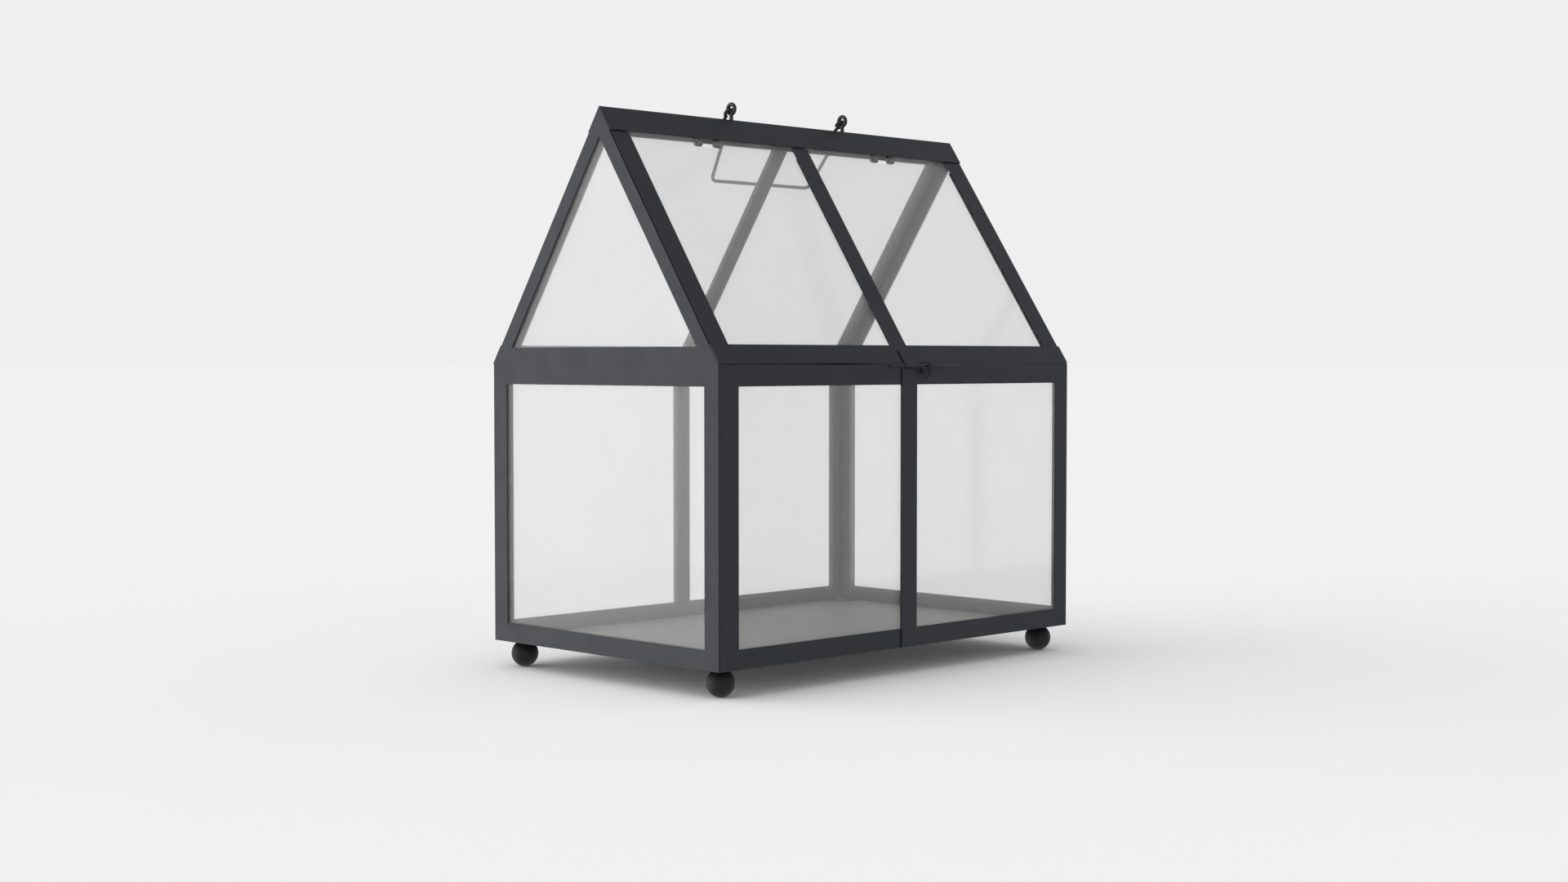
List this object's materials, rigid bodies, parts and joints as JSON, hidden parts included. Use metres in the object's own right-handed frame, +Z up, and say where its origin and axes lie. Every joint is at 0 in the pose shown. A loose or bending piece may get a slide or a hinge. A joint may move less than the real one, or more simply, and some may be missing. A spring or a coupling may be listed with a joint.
{
  "type": "cold frame",
  "caption": "Table-top glazed steel cold frame shaped like a small house, on ball feet, with a hinged front roof light, a drop-loop latch and a wire carry handle.",
  "frame": {"origin": "on the ground, under the middle of the frame's plan", "axes": "+Z up; +X along the ridge; -Y is the front, the roof slope that opens"},
  "size_m": [0.42, 0.2827, 0.4686],
  "materials": {
    "frame": "matte anthracite powder coat",
    "tray": "matte grey coat",
    "wire": "matte black coat",
    "feet": "matte black coat",
    "zinc": "zinc plated",
    "tape": "matte",
    "glass": "clear, faintly hazed"
  },
  "bodies": {
    "frame": {"post_front_left": "frame", "post_front_right": "frame", "post_rear_left": "frame", "post_rear_right": "frame", "mid_post_front": "frame", "mid_post_rear": "frame", "sill_front": "frame", "sill_rear": "frame", "sill_left": "frame", "sill_right": "frame", "floor_tray": "tray", "eave_rail_front": "frame", "eave_rail_rear": "frame", "gable_rail_left": "frame", "gable_rail_right": "frame", "gable_sill_left": "frame", "gable_sill_right": "frame", "gable_rake_front_left": "frame", "gable_rake_front_right": "frame", "gable_rake_rear_left": "frame", "gable_rake_rear_right": "frame", "roof_rake_rear_left": "frame", "roof_rake_rear_right": "frame", "roof_bar_rear": "frame", "ridge_cap": "frame", "pane_front_left": "glass", "pane_front_right": "glass", "pane_rear_left": "glass", "pane_rear_right": "glass", "pane_end_left": "glass", "pane_end_right": "glass", "pane_gable_left": "glass", "pane_gable_right": "glass", "pane_roof_rear_left": "glass", "pane_roof_rear_right": "glass", "wall_tapes": "tape", "gable_tapes": "tape", "roof_tapes": "tape", "foot_front_left": "feet", "foot_front_right": "feet", "foot_rear_left": "feet", "foot_rear_right": "feet", "foot_nuts": "zinc", "ridge_eyes": "wire", "hinge_fixed_leaves": "zinc", "hinge_pins": "zinc", "latch_catch": "wire"},
    "lid": {"lid_foot_rail": "frame", "lid_rake_left": "frame", "lid_rake_right": "frame", "lid_bar": "frame", "lid_top_rail": "frame", "lid_pane_left": "glass", "lid_pane_right": "glass", "lid_tapes": "tape", "lid_pane_strips": "frame", "hinge_lid_leaves": "zinc", "latch_plate": "frame"},
    "latch_loop": {"latch_loop": "wire"},
    "carry_handle": {"carry_handle": "wire"}
  },
  "joints": [
    {"name": "lid_hinge", "type": "hinge", "parent": "frame", "child": "lid", "pos_m": [0, -0.01195, 0.43069], "axis": [-1, 0, 0], "range_deg": [0, 100]},
    {"name": "handle_swing", "type": "hinge", "parent": "frame", "child": "carry_handle", "pos_m": [0, 0.0004, 0.463], "axis": [1, 0, 0], "range_deg": [0, 210]},
    {"name": "latch_swing", "type": "hinge", "parent": "lid", "child": "latch_loop", "pos_m": [0.0185, -0.139, 0.2507], "axis": [-1, 0, 0], "range_deg": [0, 150]}
  ]
}
